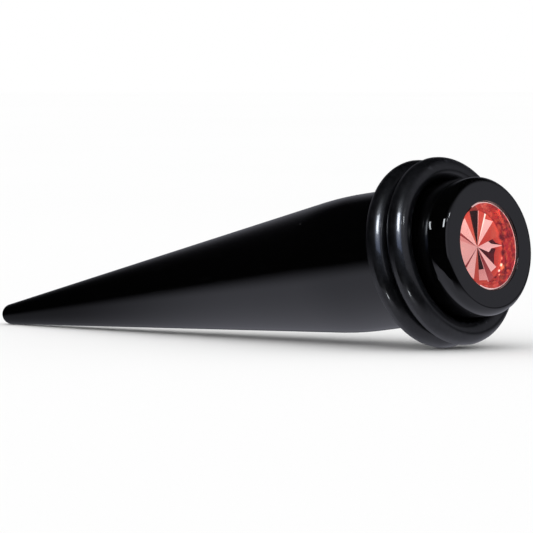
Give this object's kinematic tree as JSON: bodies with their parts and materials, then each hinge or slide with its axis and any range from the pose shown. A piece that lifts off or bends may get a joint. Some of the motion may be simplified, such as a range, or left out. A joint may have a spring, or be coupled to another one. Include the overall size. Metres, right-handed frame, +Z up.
{
  "type": "ear stretching taper",
  "caption": "Solid black taper for stretching an ear piercing: long cone, straight shaft with rubber rings, and a red cut stone set in its flat front face.",
  "frame": {"origin": "middle of the bounding box on the floor that the taper rests on", "axes": "+Z up, +X towards the head with the stone; the taper's own axis lies in the XZ plane and rises 7.9 degrees towards the head"},
  "size_m": [0.0494, 0.0136, 0.0137],
  "materials": {
    "acrylic": "polished black acrylic",
    "rubber": "satin black rubber with a faint moulded grain",
    "stone": "clear red cut glass with a mirrored back"
  },
  "bodies": {
    "root": {"taper_body": "acrylic", "o_ring_front": "rubber", "o_ring_rear": "rubber", "stone": "stone"}
  },
  "joints": []
}
